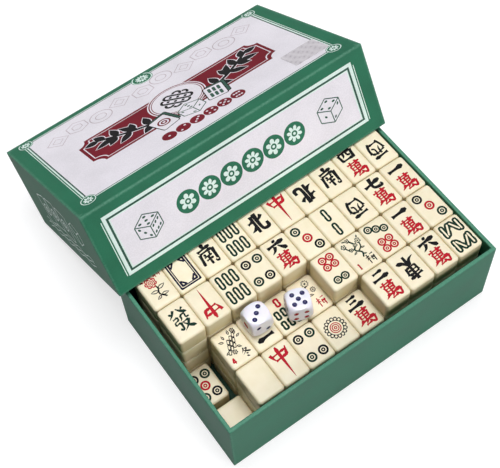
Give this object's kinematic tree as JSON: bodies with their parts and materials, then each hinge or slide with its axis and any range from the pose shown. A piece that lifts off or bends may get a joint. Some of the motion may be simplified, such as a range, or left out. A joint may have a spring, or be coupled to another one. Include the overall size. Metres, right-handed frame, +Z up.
{
  "type": "mahjong case",
  "caption": "Rigid cardboard case full of small mahjong tiles, with two dice on them and its lift-off lid leaning over the back.",
  "frame": {"origin": "centre of the base's underside", "axes": "+X right along the long side of the base seen from the front, +Y towards the back, where the lid leans, +Z up"},
  "size_m": [0.191, 0.2298, 0.1049],
  "materials": {
    "base_wrap_paper": "green embossed leatherette-grain paper, satin",
    "lid_printed_paper": "green embossed paper with printed pale panels, satin",
    "dark_lining_paper": "dark green uncoated paper",
    "greyboard": "grey pulp board, matt",
    "kraft_tape": "brown gummed paper tape",
    "clear_seal_film": "thin greyish clear film",
    "ivory_tile_resin": "polished ivory melamine resin with engraved, painted faces",
    "white_die_resin": "polished white resin with painted pips"
  },
  "bodies": {
    "case_base": {"base_bottom_board": "greyboard", "base_long_boards": "greyboard", "base_end_boards": "greyboard", "base_corner_stays": "kraft_tape", "base_wrap": "base_wrap_paper", "base_underside_sheet": "dark_lining_paper", "base_lining": "dark_lining_paper", "layer_1_back_tiles": "ivory_tile_resin", "layer_1_front_tiles": "ivory_tile_resin", "layer_2_back_tiles": "ivory_tile_resin", "layer_2_front_tiles": "ivory_tile_resin", "layer_3_back_tiles": "ivory_tile_resin", "layer_3_row_b_tiles": "ivory_tile_resin", "layer_3_row_c_tiles": "ivory_tile_resin", "top_back_row_tiles": "ivory_tile_resin", "tile_b6_third_flower": "ivory_tile_resin"},
    "case_lid": {"lid_top_board": "greyboard", "lid_long_boards": "greyboard", "lid_end_boards": "greyboard", "lid_corner_stays": "kraft_tape", "lid_wrap": "lid_printed_paper", "lid_lining": "dark_lining_paper", "lid_seal_sticker": "clear_seal_film"},
    "loose_tile_a1_one_character": {"tile_a1_one_character": "ivory_tile_resin"},
    "loose_tile_a2_seven_character": {"tile_a2_seven_character": "ivory_tile_resin"},
    "loose_tile_a3_west_wind": {"tile_a3_west_wind": "ivory_tile_resin"},
    "loose_tile_a4_two_bamboo": {"tile_a4_two_bamboo": "ivory_tile_resin"},
    "loose_tile_a5_three_dot": {"tile_a5_three_dot": "ivory_tile_resin"},
    "loose_tile_a6_six_character": {"tile_a6_six_character": "ivory_tile_resin"},
    "loose_tile_a7_four_dot": {"tile_a7_four_dot": "ivory_tile_resin"},
    "loose_tile_a8_six_bamboo": {"tile_a8_six_bamboo": "ivory_tile_resin"},
    "loose_tile_a9_red_dragon": {"tile_a9_red_dragon": "ivory_tile_resin"},
    "loose_tile_a10_green_dragon": {"tile_a10_green_dragon": "ivory_tile_resin"},
    "loose_tile_b1_three_dot": {"tile_b1_three_dot": "ivory_tile_resin"},
    "loose_tile_b2_one_character": {"tile_b2_one_character": "ivory_tile_resin"},
    "loose_tile_b3_seven_dot": {"tile_b3_seven_dot": "ivory_tile_resin"},
    "loose_tile_b4_first_flower": {"tile_b4_first_flower": "ivory_tile_resin"},
    "loose_tile_b5_six_dot": {"tile_b5_six_dot": "ivory_tile_resin"},
    "loose_tile_b7_seven_bamboo": {"tile_b7_seven_bamboo": "ivory_tile_resin"},
    "loose_tile_b8_one_character": {"tile_b8_one_character": "ivory_tile_resin"},
    "loose_tile_b9_fourth_season": {"tile_b9_fourth_season": "ivory_tile_resin"},
    "loose_tile_b10_five_dot": {"tile_b10_five_dot": "ivory_tile_resin"},
    "loose_tile_c1_eight_bamboo": {"tile_c1_eight_bamboo": "ivory_tile_resin"},
    "loose_tile_c2_six_character": {"tile_c2_six_character": "ivory_tile_resin"},
    "loose_tile_c3_east_wind": {"tile_c3_east_wind": "ivory_tile_resin"},
    "loose_tile_c4_two_character": {"tile_c4_two_character": "ivory_tile_resin"},
    "loose_tile_c5_three_character": {"tile_c5_three_character": "ivory_tile_resin"},
    "loose_tile_c6_one_dot": {"tile_c6_one_dot": "ivory_tile_resin"},
    "loose_tile_c7_four_dot": {"tile_c7_four_dot": "ivory_tile_resin"},
    "loose_tile_c8_red_dragon": {"tile_c8_red_dragon": "ivory_tile_resin"},
    "loose_tile_c9_blank": {"tile_c9_blank": "ivory_tile_resin"},
    "loose_tile_c10_blank": {"tile_c10_blank": "ivory_tile_resin"},
    "loose_left_die": {"left_die": "white_die_resin"},
    "loose_right_die": {"right_die": "white_die_resin"}
  },
  "joints": [
    {"name": "lid_lift", "type": "slide", "parent": "case_base", "child": "case_lid", "axis": [0, 0, 1], "range_m": [0, 0.06]},
    {"name": "right_die_lift", "type": "slide", "parent": "loose_tile_b7_seven_bamboo", "child": "loose_right_die", "axis": [0, 0, 1], "range_m": [0, 0.016]},
    {"name": "left_die_lift", "type": "slide", "parent": "loose_tile_b8_one_character", "child": "loose_left_die", "axis": [0, 0, 1], "range_m": [0, 0.016]},
    {"name": "tile_a1_one_character_lift", "type": "slide", "parent": "case_base", "child": "loose_tile_a1_one_character", "axis": [0, 0, 1], "range_m": [0, 0.016]},
    {"name": "tile_a2_seven_character_lift", "type": "slide", "parent": "case_base", "child": "loose_tile_a2_seven_character", "axis": [0, 0, 1], "range_m": [0, 0.016]},
    {"name": "tile_a3_west_wind_lift", "type": "slide", "parent": "case_base", "child": "loose_tile_a3_west_wind", "axis": [0, 0, 1], "range_m": [0, 0.016]},
    {"name": "tile_a4_two_bamboo_lift", "type": "slide", "parent": "case_base", "child": "loose_tile_a4_two_bamboo", "axis": [0, 0, 1], "range_m": [0, 0.016]},
    {"name": "tile_a5_three_dot_lift", "type": "slide", "parent": "case_base", "child": "loose_tile_a5_three_dot", "axis": [0, 0, 1], "range_m": [0, 0.016]},
    {"name": "tile_a6_six_character_lift", "type": "slide", "parent": "case_base", "child": "loose_tile_a6_six_character", "axis": [0, 0, 1], "range_m": [0, 0.016]},
    {"name": "tile_a7_four_dot_lift", "type": "slide", "parent": "case_base", "child": "loose_tile_a7_four_dot", "axis": [0, 0, 1], "range_m": [0, 0.016]},
    {"name": "tile_a8_six_bamboo_lift", "type": "slide", "parent": "case_base", "child": "loose_tile_a8_six_bamboo", "axis": [0, 0, 1], "range_m": [0, 0.016]},
    {"name": "tile_a9_red_dragon_lift", "type": "slide", "parent": "case_base", "child": "loose_tile_a9_red_dragon", "axis": [0, 0, 1], "range_m": [0, 0.016]},
    {"name": "tile_a10_green_dragon_lift", "type": "slide", "parent": "case_base", "child": "loose_tile_a10_green_dragon", "axis": [0, 0, 1], "range_m": [0, 0.016]},
    {"name": "tile_b1_three_dot_lift", "type": "slide", "parent": "case_base", "child": "loose_tile_b1_three_dot", "axis": [0, 0, 1], "range_m": [0, 0.016]},
    {"name": "tile_b2_one_character_lift", "type": "slide", "parent": "case_base", "child": "loose_tile_b2_one_character", "axis": [0, 0, 1], "range_m": [0, 0.016]},
    {"name": "tile_b3_seven_dot_lift", "type": "slide", "parent": "case_base", "child": "loose_tile_b3_seven_dot", "axis": [0, 0, 1], "range_m": [0, 0.016]},
    {"name": "tile_b4_first_flower_lift", "type": "slide", "parent": "case_base", "child": "loose_tile_b4_first_flower", "axis": [0, 0, 1], "range_m": [0, 0.016]},
    {"name": "tile_b5_six_dot_lift", "type": "slide", "parent": "case_base", "child": "loose_tile_b5_six_dot", "axis": [0, 0, 1], "range_m": [0, 0.016]},
    {"name": "tile_b7_seven_bamboo_lift", "type": "slide", "parent": "case_base", "child": "loose_tile_b7_seven_bamboo", "axis": [0, 0, 1], "range_m": [0, 0.029]},
    {"name": "tile_b8_one_character_lift", "type": "slide", "parent": "case_base", "child": "loose_tile_b8_one_character", "axis": [0, 0, 1], "range_m": [0, 0.029]},
    {"name": "tile_b9_fourth_season_lift", "type": "slide", "parent": "case_base", "child": "loose_tile_b9_fourth_season", "axis": [0, 0, 1], "range_m": [0, 0.029]},
    {"name": "tile_b10_five_dot_lift", "type": "slide", "parent": "case_base", "child": "loose_tile_b10_five_dot", "axis": [0, 0, 1], "range_m": [0, 0.056]},
    {"name": "tile_c1_eight_bamboo_lift", "type": "slide", "parent": "case_base", "child": "loose_tile_c1_eight_bamboo", "axis": [0, 0, 1], "range_m": [0, 0.016]},
    {"name": "tile_c2_six_character_lift", "type": "slide", "parent": "case_base", "child": "loose_tile_c2_six_character", "axis": [0, 0, 1], "range_m": [0, 0.016]},
    {"name": "tile_c3_east_wind_lift", "type": "slide", "parent": "case_base", "child": "loose_tile_c3_east_wind", "axis": [0, 0, 1], "range_m": [0, 0.016]},
    {"name": "tile_c4_two_character_lift", "type": "slide", "parent": "case_base", "child": "loose_tile_c4_two_character", "axis": [0, 0, 1], "range_m": [0, 0.016]},
    {"name": "tile_c5_three_character_lift", "type": "slide", "parent": "case_base", "child": "loose_tile_c5_three_character", "axis": [0, 0, 1], "range_m": [0, 0.029]},
    {"name": "tile_c6_one_dot_lift", "type": "slide", "parent": "case_base", "child": "loose_tile_c6_one_dot", "axis": [0, 0, 1], "range_m": [0, 0.029]},
    {"name": "tile_c7_four_dot_lift", "type": "slide", "parent": "case_base", "child": "loose_tile_c7_four_dot", "axis": [0, 0, 1], "range_m": [0, 0.029]},
    {"name": "tile_c8_red_dragon_lift", "type": "slide", "parent": "case_base", "child": "loose_tile_c8_red_dragon", "axis": [0, 0, 1], "range_m": [0, 0.029]},
    {"name": "tile_c9_blank_lift", "type": "slide", "parent": "case_base", "child": "loose_tile_c9_blank", "axis": [0, 0, 1], "range_m": [0, 0.029]},
    {"name": "tile_c10_blank_lift", "type": "slide", "parent": "case_base", "child": "loose_tile_c10_blank", "axis": [0, 0, 1], "range_m": [0, 0.056]}
  ]
}
